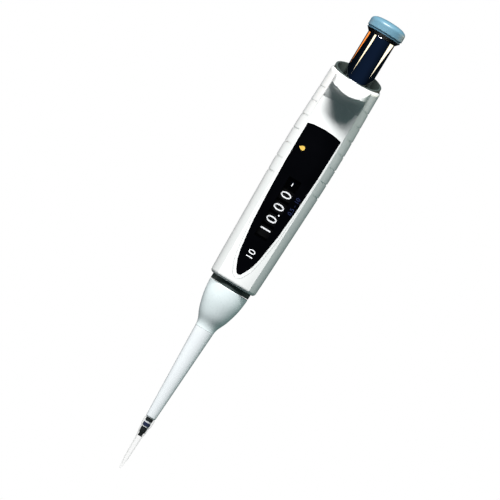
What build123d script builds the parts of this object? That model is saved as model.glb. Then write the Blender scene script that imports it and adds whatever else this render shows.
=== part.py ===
"""A 10 microlitre single-channel pipette with its disposable tip, as an assembly.

Millimetres, +Z up along the plunger axis. The origin is the end of the tip, on
that axis. The display and the finger hook face -Y, and the ejector key is at +Y.
"""
from build123d import *
import os
from math import cos, hypot, pi, radians, sin

os.makedirs("parts", exist_ok=True)

# ---- driving dimensions -------------------------------------------------------
tip_length = 28.0            # disposable tip
cone_end_z = 18.2            # end of the tip cone, inside the tip
sleeve_end_z = 28.2          # lower end of the ejector sleeve
sleeve_bore = 1.95           # its end, clear of the cone's bands as it slides over them
sleeve_joint_z = 78.1        # ejector sleeve meets the ejector collar
collar_top_z = 100.8         # top edge of the ejector collar
handle_bottom_z = 103.6
handle_top_z = 218.8         # top of the white shells, on the axis
shell_top_slope = 0.20       # rise of the shells' top edge towards the back
ring_top_z = 220.4           # rim of the grey top collar, on the axis
ring_top_slope = 0.325       # rise of that rim towards the back
button_r, button_wall = 7.3, 1.0     # chrome button sleeve
button_low_z, button_high_z = 205.0, 241.5
cap_r, cap_top_z = 9.35, 250.3
wall = 1.8                   # handle shells
seam = 0.08                  # parting gap, each side
panel_half = 9.8             # front panel, half width above the window
run_gap = 0.06               # running clearance on a radius

# handle cross-sections: height, half width, front depth, back depth
handle_sections = (
    (handle_bottom_z, 12.25, 12.6, 13.6),
    (121.0, 12.9, 13.1, 16.4),
    (144.0, 13.6, 13.6, 18.0),
    (172.0, 14.25, 14.0, 18.4),
    (196.0, 14.0, 14.0, 19.0),
    (226.0, 13.7, 14.0, 19.0),
)
cap_low_z = 213.9            # underside of the shells' closed top

# counter: four digit wheels on one tube, units of height along the axis
wheel_pitch, wheel_low_z, wheel_count = 6.7, 133.2, 4
wheel_r, wheel_half = 10.2, 2.6
core_r, core_wall = 6.0, 0.6         # fixed tube that the wheels turn on
gear_module, wheel_teeth, pinion_teeth = 0.8, 20, 8
drive_teeth = 50                     # on the drive sleeve
shaft_r = 0.5
shaft_offset = gear_module * (wheel_teeth + pinion_teeth) / 2
drive_module = 2 * shaft_offset / (drive_teeth + pinion_teeth)
shaft_angle = radians(65)            # from +X towards +Y
shaft_x, shaft_y = shaft_offset * cos(shaft_angle), shaft_offset * sin(shaft_angle)
flange = 0.6                         # thickness of a wheel's toothed flange
carry_ring_r = 7.0                   # clears the pinions' teeth by 0.2 mm
# the wheels' teeth and the pinions' teeth meet on the line to the pinion shaft
mesh_turn = shaft_angle
pinion_turn = shaft_angle + pi + pi / pinion_teeth
drive_low_z, drive_high_z = 160.4, 162.4     # gear on the drive sleeve

screw_r, screw_bore = 5.3, 2.6
screw_low_z, screw_high_z = 114.0, 200.0
rod_r = 2.0
rod_flange_r = 4.2
piston_r = 0.564                     # 1.0 square millimetre
plate_low_z, plate_high_z, plate_t = 126.4, 167.0, 2.0
sleeve_top_z = 170.1                 # drive sleeve, below the drag ring's lowest place
ejector_rod_r, rod_back_y, rod_front_y = 0.8, 13.85, 9.2
crank_low_z, crank_high_z = 115.0, 133.5     # the ejector rod steps back between these


# ---- helpers --------------------------------------------------------------------
def save(name, shape):
    """Write one node; a list becomes a group of separate solids."""
    if isinstance(shape, list):
        shape = Compound(children=shape)
    export_step(shape, f"parts/{name}.step")


def tube(r, bore, low, high):
    return Pos(0, 0, low) * extrude(Circle(r) - Circle(bore), high - low)


def rod(r, low, high, x=0.0, y=0.0):
    return Pos(x, y, low) * extrude(Circle(r), high - low)


def turned(*points):
    """A solid of revolution from (radius, height) points."""
    face = make_face(Plane.XZ * Polyline(*points, close=True))
    return revolve(face, Axis.Z)


def block(x0, x1, y0, y1, z0, z1):
    return Pos((x0 + x1) / 2, (y0 + y1) / 2, (z0 + z1) / 2) * Box(x1 - x0, y1 - y0, z1 - z0)


def outline_prism(points, y0, y1):
    """A closed front-view outline of lines, given for x >= 0, pushed from y0 to y1."""
    mirrored = [(-x, z) for x, z in reversed(points) if x > 0]
    face = make_face(Plane.XZ * Polyline(*points, *mirrored, close=True))
    return Pos(0, y1, 0) * extrude(face, y1 - y0)


def gear(teeth, module, low, high, bore, x=0.0, y=0.0, turn=0.0):
    """A spur gear of straight-flanked teeth."""
    tip, root = module * (teeth / 2 + 0.75), module * (teeth / 2 - 1.05)
    step = 2 * pi / teeth
    points = []
    for k in range(teeth):
        a = k * step + turn
        for r, share in ((root, -0.30), (tip, -0.10), (tip, 0.10), (root, 0.30)):
            points.append((r * cos(a + share * step), r * sin(a + share * step)))
    face = make_face(Polyline(*points, close=True)) - Circle(bore)
    return Pos(x, y, low) * extrude(face, high - low)


def spring(r, wire, low, high, coils, x=0.0, y=0.0):
    """A coil spring standing between two heights."""
    height = high - low - wire
    path = Helix(height / coils, height, r)
    profile = Plane(origin=path @ 0, z_dir=path % 0) * Circle(wire / 2)
    return Pos(x, y, low + wire / 2) * sweep(profile, path=path, is_frenet=True)


def slope_cut(z_axis, slope):
    """A big block above a plane that rises towards +Y."""
    tilt = Plane(origin=(0, 0, z_axis), x_dir=(1, 0, 0), z_dir=(0, -slope, 1))
    return tilt * Pos(0, 0, 40) * Box(120, 120, 80)


# ---- handle ---------------------------------------------------------------------
def handle_section(z, half, front, back, inset):
    """A flat-fronted, round-backed section."""
    w, f, b = half - inset, front - inset, back - inset
    ridge_x, ridge_y = 0.70 * half - 0.35 * inset, -0.86 * f
    front_edge = ThreePointArc((-ridge_x, ridge_y), (0, -f), (ridge_x, ridge_y))
    shoulder = 0.745
    round_edge = Spline((ridge_x, ridge_y), (w, 0.0), (shoulder * w, shoulder * b), (0, b),
                        (-shoulder * w, shoulder * b), (-w, 0.0), (-ridge_x, ridge_y),
                        tangents=((0.6, 1.0), (0, 1), (-w, b), (-1, 0), (-w, -b), (0, -1),
                                  (0.6, -1.0)))
    return Pos(0, 0, z) * make_face(front_edge + round_edge)


def handle_form(inset, low=0.0):
    """The handle's outer form, drawn in by an inset."""
    sections = [handle_section(*s, inset) for s in handle_sections]
    form = loft(sections)
    if low:
        form = form - block(-30, 30, -30, 30, 90, handle_bottom_z + low)
    return form


panel_outline = (
    (0.0, 106.6), (2.4, 108.2), (4.9, 113.0), (6.3, 119.6), (8.1, 133.0),
    (9.0, 149.0), (9.6, 168.0), (panel_half, 188.0), (panel_half, 240.0),
)
window_outline = (
    (0.0, 109.0), (1.0, 109.5), (2.1, 111.2), (3.95, 115.2), (5.2, 120.2), (5.8, 124.6),
    (7.1, 134.2), (8.1, 149.0), (8.95, 168.0), (9.2, 188.3), (6.3, 189.1), (0.0, 189.6),
)
aperture_half, aperture_low_z, aperture_high_z = 3.3, 129.4, 162.0


def grown(outline, by):
    """An outline moved outwards, by a small amount, about its own middle."""
    middle = sum(z for _, z in outline) / len(outline)
    return [(x + by if x else 0.0, z + (by if z > middle else -by)) for x, z in outline]


groove_top_z, groove_pitch, groove_count = 206.9, 7.85, 7
groove_half, groove_depth = 0.35, 0.38


def grip_grooves():
    """Shallow bands across both sides of the grip."""
    bands = []
    for k in range(groove_count):
        z = groove_top_z - groove_pitch * k
        for side in (-1, 1):
            bands.append(block(*sorted((side * 10.4, side * 16)), -10.4, 10.5,
                               z - groove_half, z + groove_half))
    return Compound(children=bands) - handle_form(groove_depth)


hook_face_z = 209.3          # flat underside that rests on a rack's arm
# sections of the hook, outwards: y, half width, lowest, edge of the curved underside, top
hook_sections = (
    (-11.0, 9.7, 201.6, 203.2, 215.8),
    (-13.6, 9.7, 203.4, 205.6, 215.8),
    (-16.2, 9.6, 207.2, 209.4, 215.8),
    (-20.0, 9.5, 208.4, 211.0, 215.7),
    (-23.6, 9.0, 207.8, 210.9, 214.9),
    (-26.2, 7.9, 207.7, 210.2, 213.2),
    (-27.6, 6.0, 208.6, 209.9, 211.7),
)


def hook_section(y, half, low, edge, high):
    """A flat-topped section with a curved underside, standing across the hook."""
    corner = 0.9
    c = corner * (1 - cos(pi / 4))
    with BuildSketch(Plane(origin=(0, y, 0), x_dir=(1, 0, 0), z_dir=(0, -1, 0))) as section:
        with BuildLine():
            Line((-half + corner, high), (half - corner, high))
            ThreePointArc((half - corner, high), (half - c, high - c), (half, high - corner))
            Line((half, high - corner), (half, edge))
            ThreePointArc((half, edge), (0, low), (-half, edge))
            Line((-half, edge), (-half, high - corner))
            ThreePointArc((-half, high - corner), (-half + c, high - c),
                          (-half + corner, high))
        make_face()
    return section.sketch


def finger_hook():
    """The finger hook: a broad tongue that droops to a rounded end."""
    body = loft([hook_section(*s) for s in hook_sections])
    return body - block(-4.5, 4.5, -23.0, -17.4, 200, hook_face_z)


def handle_shells():
    """Rear shell, front panel, black window and the clear strip over the digits."""
    outer = handle_form(0.0) - slope_cut(handle_top_z, shell_top_slope)
    ends = [e for e in outer.edges()
            if e.center().Z < handle_bottom_z + 0.5 or e.center().Z > handle_top_z - 6]
    outer = fillet(ends, 1.7)
    inner = handle_form(wall, 1.6) - block(-30, 30, -30, 30, cap_low_z, 240)
    neck = rod(10.5, 90, 105.4)
    seat = rod(12.66, 212.0, 240)
    well = rod(11.5, 204.0, 240)
    key_slot = extrude(key_plan(-0.15), 30)
    shell = outer - (inner + neck + seat + well + key_slot)
    panel_cut = outline_prism(grown(panel_outline, seam), -40, 0)
    panel_tool = outline_prism(panel_outline, -40, 0)
    rear = shell - panel_cut - grip_grooves()
    front = (shell & panel_tool) + (finger_hook() - inner)
    front = front - seat - well
    front = front - outline_prism(grown(window_outline, seam), -40, 0)
    aperture = block(-aperture_half, aperture_half, -40, 0, aperture_low_z, aperture_high_z)
    glass_box = block(-aperture_half + 0.03, aperture_half - 0.03, -40, 0,
                      aperture_low_z + 0.03, aperture_high_z - 0.03)
    plate = (handle_form(0.35) - handle_form(1.55)) & outline_prism(window_outline, -40, 0)
    glass = (handle_form(0.50) - handle_form(1.40)) & glass_box
    return rear, front, plate - aperture, glass


def top_collar():
    """Grey ring in the top of the handle, with its rim rising to the back."""
    ring = tube(12.6, 11.55, 212.05, 240) + tube(11.45, 9.9, 204.2, 214.0)
    ring = ring + tube(12.6, 9.9, 212.05, 214.0)
    ring = ring - slope_cut(ring_top_z, ring_top_slope)
    return ring - block(-2.2, 2.2, 10.6, 14, 200, 214.2)


def button_bushing():
    """Black guide for the button sleeve, held in the top collar."""
    guide = tube(9.85, button_r + run_gap, 206.0, 215.2)
    return guide + tube(11.4, 9.0, 214.05, 215.2)


def neck_ring():
    """Grey ring closing the handle's lower end, with the ejector rod's guide hole."""
    ring = tube(10.45, 7.0, collar_top_z + 0.25, 105.3)
    return ring - rod(ejector_rod_r + 0.15, 90, 110, 0, rod_front_y)


# ---- counter --------------------------------------------------------------------
def plate(z, bore):
    """A frame plate with lobes for the pinion shaft and the two pillars."""
    shape = rod(8.7, z, z + plate_t)
    for x, y in ((shaft_x, shaft_y), *pillar_places):
        reach = hypot(x, y)
        arm = Pos(x / 2, y / 2, z + plate_t / 2) * Rot(0, 0, Vector(x, y, 0).get_angle(
            Vector(1, 0, 0)) * (1 if y > 0 else -1)) * Box(reach, 3.4, plate_t)
        shape = shape + arm + rod(1.7, z, z + plate_t, x, y)
    return (shape & handle_form(wall + 0.05)) - rod(bore, z - 1, z + plate_t + 1)


pillar_r = 0.8
pillar_places = ((-6.5, 10.2), (9.0, 6.6))


def frame_plates():
    """Lower plate with the counter tube and the fixed nut, and the upper plate."""
    low = plate(plate_low_z, screw_r + 0.1)
    core = tube(core_r, core_r - core_wall, plate_low_z + plate_t, plate_high_z - 7.2)
    low = low + core
    low = low + tube(7.4, screw_r + 0.1, 118.4, plate_low_z) + tube(8.25, 6.95, 106.0, 119.4)
    high = plate(plate_high_z, 7.2)
    for x, y in pillar_places:
        low = low - rod(pillar_r, 100, 200, x, y)
        high = high - rod(pillar_r, 100, 200, x, y)
    low = low - rod(shaft_r, 100, 200, shaft_x, shaft_y)
    high = high - rod(shaft_r, 100, 200, shaft_x, shaft_y)
    return low, high


def frame_pillars():
    return [rod(pillar_r, plate_low_z, plate_high_z + plate_t, x, y) for x, y in pillar_places]


def frame_feet():
    """Four moulded feet that tie the frame plates to the inside of the rear shell."""
    room = handle_form(wall + 0.02)
    feet = []
    for z in (plate_low_z, plate_high_z):
        for side in (-1, 1):
            foot = block(*sorted((side * 9.4, side * 15)), -3.0, 3.0, z - 1.4, z - 0.02)
            feet.append((foot & room).solid())
    return feet


def digit_wheel(index):
    """One digit wheel: rim, driven ring of teeth above and plain carry ring below."""
    z = wheel_low_z + index * wheel_pitch
    wheel = tube(wheel_r, core_r + run_gap, z - wheel_half, z + wheel_half)
    wheel = wheel + gear(wheel_teeth, gear_module, z + wheel_half, z + wheel_half + flange,
                         core_r + run_gap, turn=mesh_turn)
    if index:
        lug = tube(carry_ring_r, core_r + run_gap, z - wheel_half - flange, z - wheel_half)
        wheel = wheel + lug
    return wheel



def carry_pinion(index):
    """Idle pinion between two digit wheels."""
    z = wheel_low_z + index * wheel_pitch + wheel_half
    return gear(pinion_teeth, gear_module, z + 0.08, z + wheel_pitch - 2 * wheel_half - 0.08,
                shaft_r + run_gap, shaft_x, shaft_y, pinion_turn)


def cluster_gear():
    """Small gear driven by the sleeve, with a larger one that turns the last wheel."""
    top = wheel_low_z + (wheel_count - 1) * wheel_pitch + wheel_half
    large = gear(pinion_teeth, gear_module, top + 0.08, top + 1.3,
                 shaft_r + run_gap, shaft_x, shaft_y, pinion_turn)
    hub = tube(1.0, shaft_r + run_gap, top + 1.3, drive_low_z)
    small = gear(pinion_teeth, drive_module, drive_low_z, drive_high_z,
                 shaft_r + run_gap, shaft_x, shaft_y, pinion_turn)
    return large + Pos(shaft_x, shaft_y, 0) * hub + small


def drive_sleeve():
    """Sleeve keyed to the screw, with the gear that drives the counter."""
    body = tube(7.1, screw_r + run_gap, drive_low_z, sleeve_top_z)
    body = body + tube(9.0, 7.0, drive_high_z, plate_high_z - 0.1)
    wheel = gear(drive_teeth, drive_module, drive_low_z, drive_high_z, 7.0, turn=mesh_turn)
    key = block(-screw_r - 0.3, -screw_r + 0.62, -0.7, 0.7, drive_low_z, sleeve_top_z)
    return body + wheel + key


# ---- adjusting screw and plunger --------------------------------------------------
def drag_ring():
    """Ring that holds the screw by friction and rides down with it without turning."""
    ring = tube(8.3, screw_r + 0.5, 180.0, 183.0)
    return ring + tube(8.3, screw_r - 0.35, 181.1, 181.9)


def adjust_screw():
    """Rotating screw: thread crests below, keyway, hexagon bore at its top."""
    body = tube(screw_r, screw_bore, screw_low_z, screw_high_z)
    body = body - (tube(screw_r + 1, screw_r - 0.45, 181.0, 182.0))
    body = body - block(-screw_r - 1, -screw_r + 0.75, -0.8, 0.8, 150.0, 180.5)
    for k in range(14):
        z = screw_low_z + 1.0 + k
        body = body - tube(screw_r + 1, screw_r - 0.25, z, z + 0.4)
    hexagon = Pos(0, 0, 194.0) * extrude(Circle(screw_bore + 0.2)
                                         - RegularPolygon(2.25, 6, major_radius=False), 6.0)
    return body + hexagon


def plunger_rod():
    """Steel rod: round below with its stop flange, hexagonal where it is driven."""
    lower = rod(rod_r, 98.0, 190.0)
    upper = Pos(0, 0, 190.0) * extrude(RegularPolygon(2.1, 6, major_radius=False), 53.0)
    stop = rod(rod_flange_r, 112.2, 113.95)
    return lower + upper + stop - rod(0.7, 97, 100)


def button_sleeve():
    """Polished tube below the button."""
    body = tube(button_r, button_r - button_wall, button_low_z, button_high_z)
    return fillet([e for e in body.edges() if e.center().Z > button_high_z - 0.1], 0.25)


def button_base():
    """Dark cone under the cap, with the hub that grips the rod."""
    cone = turned((3.0, button_high_z), (button_r, button_high_z), (9.05, 243.35),
                  (9.05, 243.6), (8.6, 243.9), (3.0, 243.9))
    hub = tube(6.2, 3.0, button_high_z - 5.0, button_high_z + 0.01)
    bore = Pos(0, 0, 236.0) * extrude(RegularPolygon(2.1, 6, major_radius=False), 7.02)
    return cone + hub + rod(3.0, button_high_z - 5.0, 243.9) - bore


def button_cap():
    """Coloured cap with a domed, slightly dished top."""
    with BuildSketch(Plane.XZ) as profile:
        with BuildLine():
            Line((0, 243.95), (8.7, 243.95))
            Line((8.7, 243.95), (cap_r, 244.5))
            Line((cap_r, 244.5), (cap_r, 247.2))
            Spline((cap_r, 247.2), (8.1, 249.2), (5.0, 250.1), (2.4, cap_top_z),
                   (0, 250.2), tangents=((0, 1), (-1, 0)))
            Line((0, 250.2), (0, 243.95))
        make_face()
    return revolve(profile.sketch, Axis.Z)


def piston():
    return rod(piston_r, 46.0, 96.0)


def piston_head():
    """Brass collar that joins the piston to the rod."""
    return tube(1.85, piston_r, 93.7, 97.95)


# ---- nose: tip cone, seals and springs -------------------------------------------
def tip_cone():
    """Long tapered cone that carries the tip below and screws into the handle above."""
    outer = turned(
        (0, cone_end_z), (1.05, cone_end_z), (1.05, 19.8), (1.45, 20.4), (1.6, 21.6),
        (1.6, 28.0), (1.6, 29.5), (2.3, 42.0), (3.1, 60.0), (3.85, 77.0), (4.3, 82.0),
        (6.4, 89.4), (6.4, 104.4), (6.9, 104.4), (6.9, 118.2), (0, 118.2))
    bore = turned(
        (0, 10), (0.62, 10), (0.62, 57.0), (1.95, 57.0), (1.95, 71.0), (2.3, 71.0),
        (2.3, 86.0), (4.9, 89.5), (4.9, 104.2), (5.5, 104.2), (5.5, 119.0), (0, 119.0))
    return outer - bore


def cone_rings():
    """Two coloured bands on the cone's end, over which the tip is pushed."""
    return [tube(1.87, 1.6, 23.9, 25.5), tube(1.82, 1.6, 26.5, 28.0)]


def retaining_ring():
    """Ring in the nose against which the blow-out washer rests."""
    return tube(4.88, 4.35, 102.3, 103.1)


def piston_seal():
    return tube(1.9, piston_r + 0.02, 57.05, 60.0)


def seal_o_ring():
    ring = Pos(0, 0, 60.55) * Torus(1.35, 0.5)
    return ring & tube(1.9, 0.86, 60.1, 61.0)


def seal_washer():
    return tube(1.85, piston_r + 0.15, 61.1, 62.1)


def seal_retainer():
    """Threaded bush that holds the seal spring down in the cone."""
    return tube(1.92, piston_r + 0.25, 68.4, 70.9)


def seal_spring():
    return spring(1.35, 0.4, 62.15, 68.35, 5)


def return_spring():
    return spring(2.75, 0.5, 89.6, 112.15, 9)


def blowout_spring():
    """Stiff spring with the washer that is the plunger's first stop."""
    coil = spring(4.0, 0.8, 89.7, 101.5, 5)
    return [coil, tube(4.75, 3.3, 101.55, 102.2)]


# ---- ejector ---------------------------------------------------------------------
def sleeve_r(z):
    """Outer radius of the tapered ejector sleeve."""
    return 2.6 + (4.93 - 2.6) * (z - 29.0) / (sleeve_joint_z - 29.0)


def ejector_sleeve():
    """Tapered tube that pushes the tip off."""
    low, high = sleeve_r(sleeve_end_z), sleeve_r(sleeve_joint_z)
    body = turned((sleeve_bore, sleeve_end_z), (low - 0.35, sleeve_end_z), (low, sleeve_end_z + 0.6),
                  (high, sleeve_joint_z - 0.05), (high - 0.6, sleeve_joint_z - 0.05),
                  (low - 0.45, sleeve_end_z + 2.6), (sleeve_bore, sleeve_end_z + 1.2))
    return body


def ejector_collar():
    """Bell-shaped collar at the top of the sleeve."""
    with BuildSketch(Plane.XZ) as profile:
        with BuildLine():
            Line((4.45, sleeve_joint_z + 0.05), (4.95, sleeve_joint_z + 0.05))
            Spline((4.95, sleeve_joint_z + 0.05), (5.7, 81.6), (6.85, 84.0), (8.55, 88.8),
                   (9.7, 93.6), (10.3, 98.4), (10.45, collar_top_z - 0.3))
            Line((10.45, collar_top_z - 0.3), (10.2, collar_top_z))
            Line((10.2, collar_top_z), (8.05, collar_top_z))
            Line((8.05, collar_top_z), (8.05, 97.6))
            Line((8.05, 97.6), (8.75, 96.2))
            Spline((8.75, 96.2), (8.5, 93.6), (7.35, 88.8), (5.6, 84.0), (4.6, 81.6),
                   (4.45, sleeve_joint_z + 0.05))
        make_face()
    body = revolve(profile.sketch, Axis.Z)
    return body - rod(ejector_rod_r, 98.2, 110, 0, rod_front_y)


def ejector_rod():
    """Steel rod from the key down to the collar, cranked round the neck."""
    path = FilletPolyline((0, rod_front_y, 98.2), (0, rod_front_y, crank_low_z),
                          (0, rod_back_y, crank_high_z), (0, rod_back_y, 214.0), radius=6.0)
    return sweep(Plane(origin=path @ 0, z_dir=path % 0) * Circle(ejector_rod_r), path=path)


key_low_z, key_top_z = 208.4, 231.0


def key_plan(clearance=0.0):
    """Plan of the ejector key: a thick plate bent round the top collar."""
    inset = wall + 0.3 + clearance
    plan = handle_section(key_low_z, 14.0, 14.0, 19.0, inset)
    side = Pos(0, 15, key_low_z) * Rectangle(11.6 - 2 * clearance, 10)
    return (plan & side) - Pos(0, 0, key_low_z) * Circle(12.85 + clearance)


def ejector_key():
    """Thumb key behind the button, rounded at its top."""
    pad = extrude(key_plan(), key_top_z - key_low_z)
    pad = fillet([e for e in pad.edges() if e.center().Z > key_top_z - 0.1], 1.0)
    return pad - rod(ejector_rod_r, 200, 214.0, 0, rod_back_y)


def ejector_bracket():
    """Guide under the ejector spring, moulded to the rear shell."""
    foot = block(-2.4, 2.4, rod_back_y - 2.2, 20, 190.0, 192.0) & handle_form(wall + 0.02)
    return foot - rod(ejector_rod_r + 0.1, 180, 200, 0, rod_back_y)


def ejector_spring():
    return spring(1.35, 0.45, 192.05, 208.35, 9, 0, rod_back_y)


# ---- disposable tip ---------------------------------------------------------------
def pipette_tip():
    """Clear tapered tip with a collar at its mouth."""
    outer = turned((0, 0), (0.42, 0), (1.1, 5.8), (1.3, 11.5), (1.5, 17.4), (2.1, 21.2),
                   (2.25, 23.6), (2.64, 24.2), (2.64, 27.7), (2.5, tip_length), (0, tip_length))
    bore = turned((0, -1), (0.25, -1), (0.25, 2.0), (0.85, 5.8), (1.0, 11.5), (1.12, 17.2),
                  (1.62, 19.9), (1.7, 21.4), (1.7, 22.4), (1.93, 23.2), (1.93, 29), (0, 29))
    return outer - bore


def build():
    rear, front, window, glass = handle_shells()
    lower_frame, upper_frame = frame_plates()
    nodes = {
        "rear_shell": rear,
        "front_panel": front,
        "display_window": window,
        "counter_glass": glass,
        "top_collar": top_collar(),
        "button_bushing": button_bushing(),
        "neck_ring": neck_ring(),
        "lower_frame": lower_frame,
        "upper_frame": upper_frame,
        "frame_pillars": frame_pillars(),
        "frame_feet": frame_feet(),
        "pinion_shaft": rod(shaft_r, plate_low_z, plate_high_z + plate_t, shaft_x, shaft_y),
        "cluster_gear": cluster_gear(),
        "drive_sleeve": drive_sleeve(),
        "drag_ring": drag_ring(),
        "adjust_screw": adjust_screw(),
        "plunger_rod": plunger_rod(),
        "button_sleeve": button_sleeve(),
        "button_base": button_base(),
        "button_cap": button_cap(),
        "piston": piston(),
        "piston_head": piston_head(),
        "tip_cone": tip_cone(),
        "cone_rings": cone_rings(),
        "retaining_ring": retaining_ring(),
        "piston_seal": piston_seal(),
        "seal_o_ring": seal_o_ring(),
        "seal_washer": seal_washer(),
        "seal_spring": seal_spring(),
        "seal_retainer": seal_retainer(),
        "return_spring": return_spring(),
        "blowout_spring": blowout_spring(),
        "ejector_sleeve": ejector_sleeve(),
        "ejector_collar": ejector_collar(),
        "ejector_rod": ejector_rod(),
        "ejector_key": ejector_key(),
        "ejector_bracket": ejector_bracket(),
        "ejector_spring": ejector_spring(),
        "pipette_tip": pipette_tip(),
    }
    for index, name in enumerate(("tens", "units", "tenths", "hundredths")):
        nodes[f"{name}_wheel"] = digit_wheel(index)
        if index < wheel_count - 1:
            nodes[f"carry_pinion_{index + 1}"] = carry_pinion(index)
    for name, shape in nodes.items():
        save(name, shape)


build()
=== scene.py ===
"""Looks for the mechanical pipette: materials, printed figures, studio and camera."""
from math import cos, pi, radians, sin

import bmesh
import bpy
from mathutils import Matrix, Quaternion, Vector

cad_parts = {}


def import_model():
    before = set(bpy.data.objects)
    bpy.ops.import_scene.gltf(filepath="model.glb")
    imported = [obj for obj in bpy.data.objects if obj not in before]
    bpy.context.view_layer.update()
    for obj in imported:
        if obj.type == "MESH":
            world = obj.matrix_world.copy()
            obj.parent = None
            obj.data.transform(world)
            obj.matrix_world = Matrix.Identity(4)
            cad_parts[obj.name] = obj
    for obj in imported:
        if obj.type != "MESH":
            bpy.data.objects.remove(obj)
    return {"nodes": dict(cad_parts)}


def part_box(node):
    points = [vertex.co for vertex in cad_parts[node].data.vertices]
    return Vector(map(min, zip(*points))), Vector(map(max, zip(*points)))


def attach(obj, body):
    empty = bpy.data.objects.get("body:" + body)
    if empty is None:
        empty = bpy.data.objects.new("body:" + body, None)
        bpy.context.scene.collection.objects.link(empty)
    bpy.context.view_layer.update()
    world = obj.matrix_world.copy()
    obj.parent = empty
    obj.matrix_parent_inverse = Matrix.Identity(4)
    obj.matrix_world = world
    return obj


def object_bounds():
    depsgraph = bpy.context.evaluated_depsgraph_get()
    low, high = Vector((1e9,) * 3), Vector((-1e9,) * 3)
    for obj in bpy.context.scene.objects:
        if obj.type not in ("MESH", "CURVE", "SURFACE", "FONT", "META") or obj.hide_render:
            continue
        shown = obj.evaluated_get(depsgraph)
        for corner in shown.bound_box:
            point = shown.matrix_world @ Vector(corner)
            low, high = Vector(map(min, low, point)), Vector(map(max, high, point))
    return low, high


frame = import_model()
cad_low, cad_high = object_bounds()
nodes = frame["nodes"]
MM = 0.001
FIGURE_DEPTH = 0.03 * MM     # how far the wheels' figures stand up
PRINT_DEPTH = 0.02 * MM      # how far the window's prints stand up
WHEEL_FIGURE_HEIGHT = 5.4 * MM
WHEEL_FIGURE_WIDTH = 0.92    # the figures are a little narrower than the typeface
RIM_DROP = 3.2 * MM          # from a wheel's upper flange to the middle of its 5.2 mm rim


# ---- node helpers ---------------------------------------------------------------
class Graph:
    """A small helper round one material's node tree."""

    def __init__(self, name):
        self.material = bpy.data.materials.new(name)
        self.material.use_nodes = True
        self.tree = self.material.node_tree
        self.shader = self.tree.nodes["Principled BSDF"]
        self.place = self.add("ShaderNodeTexCoord").outputs["Object"]

    def add(self, kind, **values):
        node = self.tree.nodes.new(kind)
        for key, value in values.items():
            if key in node.inputs:
                node.inputs[key].default_value = value
            else:
                setattr(node, key, value)
        return node

    def link(self, a, b):
        self.tree.links.new(a, b)

    def noise(self, scale, detail=3.0, stretch=(1, 1, 1)):
        """Noise in object space; scale is in features per metre."""
        mapping = self.add("ShaderNodeMapping")
        mapping.inputs["Scale"].default_value = stretch
        self.link(self.place, mapping.inputs["Vector"])
        noise = self.add("ShaderNodeTexNoise", Scale=scale, Detail=detail)
        self.link(mapping.outputs["Vector"], noise.inputs["Vector"])
        return noise.outputs["Fac"]

    def ramp(self, source, stops):
        ramp = self.add("ShaderNodeValToRGB")
        elements = ramp.color_ramp.elements
        while len(elements) < len(stops):
            elements.new(0.5)
        for element, (at, colour) in zip(elements, stops):
            element.position = at
            element.color = (*colour, 1.0)
        self.link(source, ramp.inputs["Fac"])
        return ramp.outputs["Color"]

    def spread(self, source, low, high):
        spread = self.add("ShaderNodeMapRange")
        spread.inputs["To Min"].default_value = low
        spread.inputs["To Max"].default_value = high
        self.link(source, spread.inputs["Value"])
        return spread.outputs["Result"]

    def bump(self, source, depth_mm, strength=1.0):
        bump = self.add("ShaderNodeBump", Strength=strength, Distance=depth_mm * MM)
        self.link(source, bump.inputs["Height"])
        self.link(bump.outputs["Normal"], self.shader.inputs["Normal"])

    def set(self, **sockets):
        for key, value in sockets.items():
            self.shader.inputs[key.replace("_", " ")].default_value = value


def moulded(name, dark, light, rough=(0.25, 0.35), grain=900.0, depth=0.012, **sockets):
    """Moulded plastic: faint cloudiness in its colour, fine grain in its surface."""
    graph = Graph(name)
    cloud = graph.noise(60.0, 4.0)
    graph.link(graph.ramp(cloud, ((0.3, dark), (0.7, light))), graph.shader.inputs["Base Color"])
    fine = graph.noise(grain, 2.0)
    graph.link(graph.spread(fine, *rough), graph.shader.inputs["Roughness"])
    graph.bump(fine, depth)
    graph.set(**sockets)
    return graph.material


def banded(name, low, high, bands, rough=(0.2, 0.3)):
    """Plastic whose colour changes in steps up the pipette, from low to high in millimetres."""
    graph = Graph(name)
    parts = graph.add("ShaderNodeSeparateXYZ")
    graph.link(graph.place, parts.inputs[0])
    height = graph.add("ShaderNodeMapRange")
    height.inputs["From Min"].default_value = low * MM
    height.inputs["From Max"].default_value = high * MM
    graph.link(parts.outputs["Z"], height.inputs["Value"])
    steps = graph.add("ShaderNodeValToRGB")
    steps.color_ramp.interpolation = "CONSTANT"
    elements = steps.color_ramp.elements
    while len(elements) < len(bands):
        elements.new(0.5)
    for element, (at, colour) in zip(elements, bands):
        element.position = (at - low) / (high - low)
        element.color = (*colour, 1.0)
    graph.link(height.outputs["Result"], steps.inputs["Fac"])
    cloud = graph.noise(300.0, 3.0)
    worn = graph.add("ShaderNodeMixRGB", blend_type="MULTIPLY", Fac=1.0)
    graph.link(steps.outputs["Color"], worn.inputs["Color1"])
    graph.link(graph.ramp(cloud, ((0.3, (0.88, 0.88, 0.88)), (0.7, (1, 1, 1)))),
               worn.inputs["Color2"])
    graph.link(worn.outputs["Color"], graph.shader.inputs["Base Color"])
    fine = graph.noise(1500.0, 2.0)
    graph.link(graph.spread(fine, *rough), graph.shader.inputs["Roughness"])
    graph.bump(fine, 0.003)
    return graph.material


def metal(name, dark, light, rough, stretch=(1, 1, 40), grain=1500.0, depth=0.004):
    """Turned or drawn metal with fine lines."""
    graph = Graph(name)
    lines = graph.noise(grain, 2.0, stretch)
    graph.link(graph.ramp(lines, ((0.35, dark), (0.65, light))), graph.shader.inputs["Base Color"])
    graph.link(graph.spread(lines, *rough), graph.shader.inputs["Roughness"])
    graph.bump(lines, depth)
    graph.set(Metallic=1.0)
    return graph.material


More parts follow.
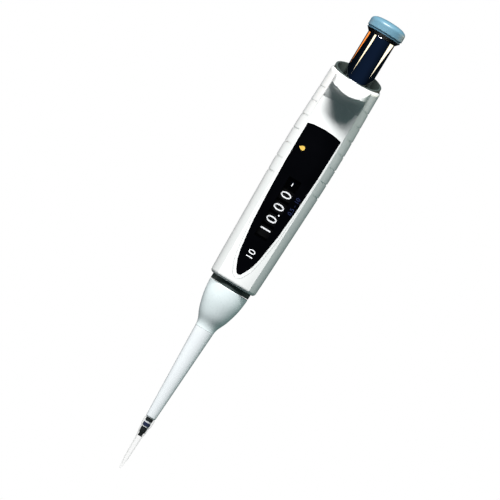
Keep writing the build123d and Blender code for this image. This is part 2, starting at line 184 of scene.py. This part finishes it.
def clear(name):
    """Thin clear polypropylene: nearly invisible face on, milky towards its edges."""
    graph = Graph(name)
    streaks = graph.noise(260.0, 3.0, (1, 1, 0.15))
    graph.link(graph.ramp(streaks, ((0.3, (0.30, 0.35, 0.30)), (0.7, (0.40, 0.45, 0.40)))),
               graph.shader.inputs["Base Color"])
    graph.link(graph.spread(streaks, 0.12, 0.22), graph.shader.inputs["Roughness"])
    facing = graph.add("ShaderNodeLayerWeight", Blend=0.35).outputs["Facing"]
    cover = graph.ramp(facing, ((0.25, (0.02, 0.02, 0.02)), (0.55, (0.22, 0.22, 0.22)),
                                (0.85, (0.95, 0.95, 0.95))))
    graph.link(cover, graph.shader.inputs["Alpha"])
    graph.material.surface_render_method = "BLENDED"
    return graph.material


def cover_glass(name):
    """Thin clear cover: see-through, with gloss from its own surface."""
    graph = Graph(name)
    smear = graph.noise(120.0, 4.0)
    graph.link(graph.ramp(smear, ((0.3, (0.002, 0.002, 0.003)), (0.7, (0.004, 0.004, 0.005)))),
               graph.shader.inputs["Base Color"])
    graph.link(graph.spread(smear, 0.03, 0.08), graph.shader.inputs["Roughness"])
    graph.set(Alpha=0.06, Specular_IOR_Level=0.3)
    graph.material.surface_render_method = "BLENDED"
    return graph.material


WHITE = moulded("shell_white", (0.86, 0.87, 0.86), (0.90, 0.905, 0.895), (0.24, 0.34), 1400.0,
                0.006, Coat_Weight=0.25, Coat_Roughness=0.12)
BELL_WHITE = moulded("bell_white", (0.82, 0.90, 0.91), (0.86, 0.94, 0.95), (0.24, 0.32),
                     500.0, 0.001, Coat_Weight=0.3, Coat_Roughness=0.15)
EJECTOR_WHITE = moulded("ejector_white", (0.80, 0.83, 0.85), (0.85, 0.88, 0.90), (0.2, 0.28),
                        900.0, 0.001, Coat_Weight=0.35, Coat_Roughness=0.1)
WINDOW_BLACK = moulded("window_black", (0.0008, 0.0008, 0.001), (0.0016, 0.0016, 0.002),
                       (0.08, 0.14), 300.0, 0.0006, Specular_IOR_Level=0.3)
COLLAR_GREY = moulded("collar_grey", (0.045, 0.062, 0.058), (0.065, 0.083, 0.078),
                      (0.38, 0.5), 2200.0, 0.02)
BLACK = moulded("plastic_black", (0.006, 0.006, 0.007), (0.012, 0.012, 0.013), (0.4, 0.55),
                2000.0, 0.015)
FRAME_DARK = moulded("frame_dark", (0.004, 0.004, 0.005), (0.008, 0.008, 0.009), (0.5, 0.6))
CAP_BLUE = moulded("cap_blue", (0.12, 0.25, 0.335), (0.14, 0.285, 0.37), (0.34, 0.44),
                   1800.0, 0.008, Coat_Weight=0.5, Coat_Roughness=0.35)
CONE = banded("cone_finish", 18.0, 30.0, ((18.0, (0.008, 0.009, 0.012)),
                                          (23.2, (0.72, 0.73, 0.74))))
BANDS = banded("band_finish", 23.0, 29.0, ((23.0, (0.010, 0.016, 0.065)),
                                           (26.0, (0.008, 0.009, 0.012))))
BASE = banded("base_finish", 230.0, 250.0, ((230.0, (0.006, 0.006, 0.007)),
                                            (243.2, (0.07, 0.15, 0.21))), (0.35, 0.45))
ACETAL = moulded("gear_acetal", (0.66, 0.65, 0.60), (0.74, 0.73, 0.68), (0.35, 0.45))
PTFE = moulded("seal_ptfe", (0.82, 0.82, 0.80), (0.88, 0.88, 0.86), (0.45, 0.55))
RUBBER = moulded("o_ring_rubber", (0.010, 0.010, 0.010), (0.018, 0.018, 0.018), (0.6, 0.7))
WHEEL_BLACK = moulded("wheel_black", (0.001, 0.001, 0.0012), (0.002, 0.002, 0.0024), (0.5, 0.65),
                      700.0, 0.0015, Specular_IOR_Level=0.08)
# White print on the wheels and window; its emission paints a faint glow on the figures, which no
# lamp gives them.
GLOWING_INK_WHITE = moulded("ink_white_glowing", (0.86, 0.87, 0.88), (0.93, 0.93, 0.93), (0.4, 0.5), 2500.0,
                    0.004, Emission_Color=(0.9, 0.93, 1.0, 1.0), Emission_Strength=0.3)
INK_BLUE = moulded("ink_blue", (0.010, 0.016, 0.06), (0.014, 0.022, 0.08), (0.4, 0.5))
INK_YELLOW = moulded("ink_yellow", (0.62, 0.40, 0.06), (0.75, 0.50, 0.10), (0.4, 0.5))
CHROME = metal("chrome", (0.74, 0.74, 0.76), (0.82, 0.82, 0.83), (0.012, 0.03), (1, 1, 0.1),
               300.0, 0.0001)
STEEL = metal("steel", (0.48, 0.48, 0.50), (0.60, 0.60, 0.62), (0.2, 0.32))
BRASS = metal("brass", (0.58, 0.42, 0.16), (0.70, 0.54, 0.24), (0.2, 0.3))
TIP_CLEAR = clear("tip_clear")
GLASS = cover_glass("counter_glass")

FINISHES = {
    WHITE: ("rear_shell", "front_panel", "frame_feet", "ejector_bracket"),
    EJECTOR_WHITE: ("ejector_sleeve", "ejector_key"),
    BELL_WHITE: ("ejector_collar",),
    WINDOW_BLACK: ("display_window",),
    GLASS: ("counter_glass",),
    COLLAR_GREY: ("top_collar", "neck_ring"),
    BLACK: ("button_bushing", "drag_ring"),
    BASE: ("button_base",),
    FRAME_DARK: ("lower_frame", "upper_frame"),
    CAP_BLUE: ("button_cap",),
    BANDS: ("cone_rings",),
    CONE: ("tip_cone",),
    ACETAL: ("cluster_gear", "carry_pinion_1", "carry_pinion_2", "carry_pinion_3"),
    PTFE: ("piston_seal",),
    RUBBER: ("seal_o_ring",),
    CHROME: ("button_sleeve",),
    BRASS: ("piston_head", "seal_retainer"),
    TIP_CLEAR: ("pipette_tip",),
    WHEEL_BLACK: ("tens_wheel", "units_wheel", "tenths_wheel", "hundredths_wheel",
                  "drive_sleeve"),
    STEEL: ("frame_pillars", "pinion_shaft", "adjust_screw", "plunger_rod", "piston",
            "retaining_ring", "seal_washer", "seal_spring", "return_spring",
            "blowout_spring", "ejector_rod", "ejector_spring"),
}


def dress():
    """Gives every CAD node its material."""
    for material, names in FINISHES.items():
        for name in names:
            data = nodes[name].data
            data.materials.clear()
            data.materials.append(material)


# ---- printed figures ------------------------------------------------------------
def glyph_faces(text, height, spacing=1.0, weight=0.0):
    """A flat mesh of figures, `height` tall in metres, centred on its own box."""
    curve = bpy.data.curves.new("figures", "FONT")
    curve.body = text
    curve.space_character = spacing
    curve.offset = weight
    curve.resolution_u = 6
    holder = bpy.data.objects.new("figures", curve)
    bpy.context.scene.collection.objects.link(holder)
    bpy.context.view_layer.update()
    mesh = bpy.data.meshes.new_from_object(holder.evaluated_get(
        bpy.context.evaluated_depsgraph_get()))
    bpy.data.objects.remove(holder)
    bm = bmesh.new()
    bm.from_mesh(mesh)
    bmesh.ops.triangulate(bm, faces=bm.faces)
    xs = [v.co.x for v in bm.verts]
    ys = [v.co.y for v in bm.verts]
    scale = height / (max(ys) - min(ys))
    middle = Vector(((max(xs) + min(xs)) / 2, (max(ys) + min(ys)) / 2, 0))
    for vert in bm.verts:
        vert.co = (vert.co - middle) * scale
    return bm


def put(name, bm, material):
    """Makes a scene object from a mesh that has been built."""
    mesh = bpy.data.meshes.new(name)
    bm.to_mesh(mesh)
    bm.free()
    mesh.materials.append(material)
    piece = bpy.data.objects.new(name, mesh)
    bpy.context.scene.collection.objects.link(piece)
    return piece


def slice_up(bm, step):
    """Cuts the faces into strips across Y so that they can bend."""
    ys = [v.co.y for v in bm.verts]
    y = min(ys) + step
    while y < max(ys):
        bmesh.ops.bisect_plane(bm, geom=bm.verts[:] + bm.edges[:] + bm.faces[:],
                               plane_co=(0, y, 0), plane_no=(0, 1, 0))
        y += step


def thicken(bm, depth, name, material, body):
    """Turns bent faces into a thin closed solid that rides on a body."""
    for face in bm.faces:
        face.smooth = False
    bmesh.ops.recalc_face_normals(bm, faces=bm.faces)
    bmesh.ops.solidify(bm, geom=bm.faces[:], thickness=depth)
    bmesh.ops.recalc_face_normals(bm, faces=bm.faces)
    piece = put(name, bm, material)
    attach(piece, body)


def wheel_figures():
    """Ten figures round each digit wheel, reading up the pipette."""
    # wheel, figure at the front, step between neighbours
    rows = (("tens", 1, 1), ("units", 0, 1), ("tenths", 0, 1), ("hundredths", 0, 2))
    for name, front, step in rows:
        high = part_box(f"{name}_wheel")[1]
        rim = high.x
        whole = bmesh.new()
        middle = high.z - RIM_DROP
        for place in range(10):
            figure = (front - step * place) % 10
            bm = glyph_faces(str(figure), WHEEL_FIGURE_HEIGHT, weight=-0.003)
            slice_up(bm, 0.35 * MM)
            # a one is narrow, and stands at the upper end of its place
            shift = 1.1 * MM if figure == 1 else 0.0
            for vert in bm.verts:
                angle = place * 2 * pi / 10 - vert.co.y / rim
                vert.co = Vector((rim * sin(angle), -rim * cos(angle),
                                  middle + shift + vert.co.x * WHEEL_FIGURE_WIDTH))
            mesh = bpy.data.meshes.new("part")
            bm.to_mesh(mesh)
            bm.free()
            whole.from_mesh(mesh)
            bpy.data.meshes.remove(mesh)
        thicken(whole, FIGURE_DEPTH, f"{name}_figures", GLOWING_INK_WHITE,
                f"{name}_wheel")


def front_of(node, x, z):
    """The front surface of a CAD node at a place seen from the front."""
    hit, place, _, _ = nodes[node].ray_cast(Vector((x, -0.1, z)), Vector((0, 1, 0)))
    return place.y if hit else None


def print_on(node, bm, x, z, name, material, quarter_turn=True):
    """Lays flat figures on the front of a CAD node; a quarter turn makes them read upwards."""
    slice_up(bm, 0.5 * MM)
    for vert in bm.verts:
        across, along = (-vert.co.y, vert.co.x) if quarter_turn else (vert.co.x, vert.co.y)
        px, pz = x + across, z + along
        py = front_of(node, px, pz)
        vert.co = Vector((px, py - PRINT_DEPTH / 2, pz))
    thicken(bm, PRINT_DEPTH, name, material, "handle")


def disc(radius, sides=32):
    bm = bmesh.new()
    bmesh.ops.create_circle(bm, cap_ends=True, radius=radius, segments=sides)
    return bm


def bar(width, height):
    bm = bmesh.new()
    bmesh.ops.create_grid(bm, x_segments=1, y_segments=1, size=0.5)
    bmesh.ops.scale(bm, vec=(width, height, 1), verts=bm.verts)
    return bm


def droplet(size):
    """A generic drop outline, filled."""
    bm = bmesh.new()
    points = []
    for k in range(40):
        t = 2 * pi * k / 40
        points.append((0.5 * size * sin(t) * sin(t / 2) ** 1.4, -0.5 * size * cos(t)))
    bm.faces.new([bm.verts.new((x, -y, 0)) for x, y in points])
    bmesh.ops.triangulate(bm, faces=bm.faces)
    return bm


def window_prints():
    print_on("display_window", glyph_faces("10", 3.4 * MM, 1.05, -0.008), 0.2 * MM, 120.8 * MM,
             "range_figures", GLOWING_INK_WHITE)
    print_on("display_window", glyph_faces("0.5 - 10", 2.1 * MM), 6.1 * MM, 150.5 * MM,
             "limit_figures", INK_BLUE)
    print_on("display_window", droplet(3.2 * MM), -5.4 * MM, 176.6 * MM, "drop_mark",
             INK_YELLOW)
    print_on("counter_glass", disc(0.36 * MM), 2.15 * MM, 143.1 * MM, "decimal_point",
             GLOWING_INK_WHITE)
    print_on("counter_glass", bar(0.35 * MM, 1.5 * MM), 0.0, 159.0 * MM, "index_mark",
             GLOWING_INK_WHITE, quarter_turn=False)


# ---- studio ----------------------------------------------------------------------
LEAN = radians(31.35)        # how far the pipette leans to the right in the picture
VIEW_WIDTH = 240.0 * MM      # width of the picture at the pipette
VIEW_DISTANCE = 2.6
AIM_RIGHT, AIM_UP = -2.6 * MM, -2.15 * MM    # from the pipette's middle to the picture's
LAMP_AIM = Vector((0, 0, 0.15))
KEY_TOWARD = Vector((-3.8, -13.6, 16.0))     # in front, above and a little to the left
KEY_DISTANCE = 1.2
BACKDROP = (1, 1, 1, 1)
FILL_COLOUR = (0.62, 0.92, 0.95, 1)
FILL_STRENGTH = 0.08
DARK_BACK = (0.002, 0.004, 0.007, 1)         # what polished metal shows behind the pipette
DARK_FRONT = (0.006, 0.014, 0.036, 1)        # and in front of it
FLOOR_RADIUS = 2.5
FLOOR_HEIGHT = -0.45
FLOOR_GLOW = 0.6             # keeps it pale where the studio light does not reach
RIGHT = Vector((cos(LEAN), 0, sin(LEAN)))
UP = Vector((-sin(LEAN), 0, cos(LEAN)))


def camera():
    """Looks straight at the front, turned so that the pipette leans to the right."""
    data = bpy.data.cameras.new("camera")
    data.sensor_width = 36.0
    data.lens = 36.0 * VIEW_DISTANCE / VIEW_WIDTH
    data.clip_end = 50.0
    eye = bpy.data.objects.new("camera", data)
    bpy.context.scene.collection.objects.link(eye)
    middle = (cad_low.z + cad_high.z) / 2
    target = Vector((0, 0, middle)) + RIGHT * AIM_RIGHT + UP * AIM_UP
    axes = Matrix((RIGHT, UP, Vector((0, -1, 0)))).transposed()
    eye.matrix_world = Matrix.Translation(target + Vector((0, -VIEW_DISTANCE, 0))) @ axes.to_4x4()
    bpy.context.scene.camera = eye


def soft_light(name, place, size, power, colour=(1, 1, 1), glossy=True, spread=180):
    """A rectangular lamp turned to the pipette; power in watts, spread in degrees."""
    data = bpy.data.lights.new(name, "AREA")
    data.shape = "RECTANGLE"
    data.size, data.size_y = size
    data.energy = power
    data.spread = radians(spread)
    data.color = colour
    lamp = bpy.data.objects.new(name, data)
    bpy.context.scene.collection.objects.link(lamp)
    lamp.location = place
    lamp.rotation_mode = "QUATERNION"
    lamp.rotation_quaternion = (LAMP_AIM - place).to_track_quat("-Z", "Y")
    lamp.visible_camera = False
    lamp.visible_glossy = glossy


def around(azimuth, distance, height):
    """A place round the pipette: azimuth 0 is in front, 90 to its right."""
    a = radians(azimuth)
    return Vector((distance * sin(a), -distance * cos(a), height))


def lights():
    """A key light from above and a soft fill at each side."""
    soft_light("key", LAMP_AIM + KEY_TOWARD.normalized() * KEY_DISTANCE, (0.75, 0.22), 3.95,
               spread=60)
    soft_light("left_fill", around(-100, 0.9, 0.15), (0.3, 0.8), 0.50, glossy=False,
               spread=70)
    soft_light("right_fill", around(105, 1.1, 0.1), (0.3, 0.8), 0.52, (0.74, 1.0, 0.93),
               glossy=False, spread=70)


def streak(name, azimuth, distance, height, size, strength, colour, turn):
    """A glowing strip that only the polished metal shows, facing the pipette."""
    graph = Graph(name)
    glow = graph.noise(3.0, 2.0)
    graph.link(graph.spread(glow, strength * 0.9, strength * 1.1),
               graph.shader.inputs["Emission Strength"])
    graph.set(Base_Color=(0, 0, 0, 1), Emission_Color=(*colour, 1))
    graph.material.cycles.emission_sampling = "NONE"
    strip = put(name, bar(*size), graph.material)
    strip.location = around(azimuth, distance, height)
    strip.rotation_mode = "QUATERNION"
    strip.rotation_quaternion = (Vector((0, 0, height)) - strip.location).to_track_quat(
        "-Z", "Y") @ Quaternion((0, 0, 1), radians(turn))
    for way in ("camera", "diffuse", "transmission", "shadow"):
        setattr(strip, f"visible_{way}", False)


def streaks():
    """The three reflections that run down the button's chrome sleeve."""
    streak("cream_strip", -54, 0.9, 0.296, (0.24, 0.06), 2.4, (1, 0.86, 0.55), 5)
    streak("orange_strip", -125, 0.9, 0.300, (0.40, 0.06), 1.6, (1, 0.30, 0.06), 3)
    streak("cream_wedge", 115, 0.5, 0.358, (0.6, 0.2), 2.0, (1, 0.90, 0.66), 2.6)


def world():
    """White behind the pipette, dim for its shading and nearly black in its metal."""
    scene = bpy.context.scene
    scene.world = bpy.data.worlds.new("studio")
    scene.world.use_nodes = True
    tree = scene.world.node_tree
    tree.nodes.clear()
    add, link = tree.nodes.new, tree.links.new

    def background(colour, strength=1.0):
        node = add("ShaderNodeBackground")
        node.inputs["Color"].default_value = colour
        node.inputs["Strength"].default_value = strength
        return node

    def mix(factor, first, second):
        node = add("ShaderNodeMixShader")
        link(factor, node.inputs["Fac"])
        link(first.outputs[0], node.inputs[1])
        link(second.outputs[0], node.inputs[2])
        return node

    # the dark colour goes from the back to the front along Y
    parts = add("ShaderNodeSeparateXYZ")
    link(add("ShaderNodeTexCoord").outputs["Generated"], parts.inputs[0])
    toward = add("ShaderNodeMath")
    toward.operation = "MULTIPLY"
    toward.inputs[1].default_value = -1.0
    link(parts.outputs["Y"], toward.inputs[0])
    shade = add("ShaderNodeValToRGB")
    for element, at, colour in zip(shade.color_ramp.elements, (0.05, 0.95),
                                   (DARK_BACK, DARK_FRONT)):
        element.position = at
        element.color = colour
    link(toward.outputs[0], shade.inputs["Fac"])
    dark = background(DARK_FRONT)
    link(shade.outputs["Color"], dark.inputs["Color"])

    ray = add("ShaderNodeLightPath").outputs
    through = add("ShaderNodeMath")
    through.operation = "MAXIMUM"
    link(ray["Is Camera Ray"], through.inputs[0])
    link(ray["Is Transmission Ray"], through.inputs[1])
    inner = mix(ray["Is Glossy Ray"], background(FILL_COLOUR, FILL_STRENGTH), dark)
    outer = mix(through.outputs[0], inner, background(BACKDROP))
    link(outer.outputs[0], add("ShaderNodeOutputWorld").inputs["Surface"])
    scene.view_settings.view_transform = "Standard"


def floor():
    """A plain pale floor well below the pipette, which is held up, tip down."""
    pale = moulded("floor_pale", (0.80, 0.80, 0.79), (0.84, 0.84, 0.83), (0.6, 0.7), 300.0,
                   0.05, Emission_Color=(0.95, 0.97, 0.97, 1), Emission_Strength=FLOOR_GLOW)
    pale.cycles.emission_sampling = "NONE"
    ground = put("floor", disc(FLOOR_RADIUS, 96), pale)
    ground.location.z = FLOOR_HEIGHT
    # its bounce would wash out the soft shadows under the hook
    ground.visible_diffuse = False
    ground.visible_glossy = False


camera()
dress()
wheel_figures()
window_prints()
lights()
streaks()
world()
floor()
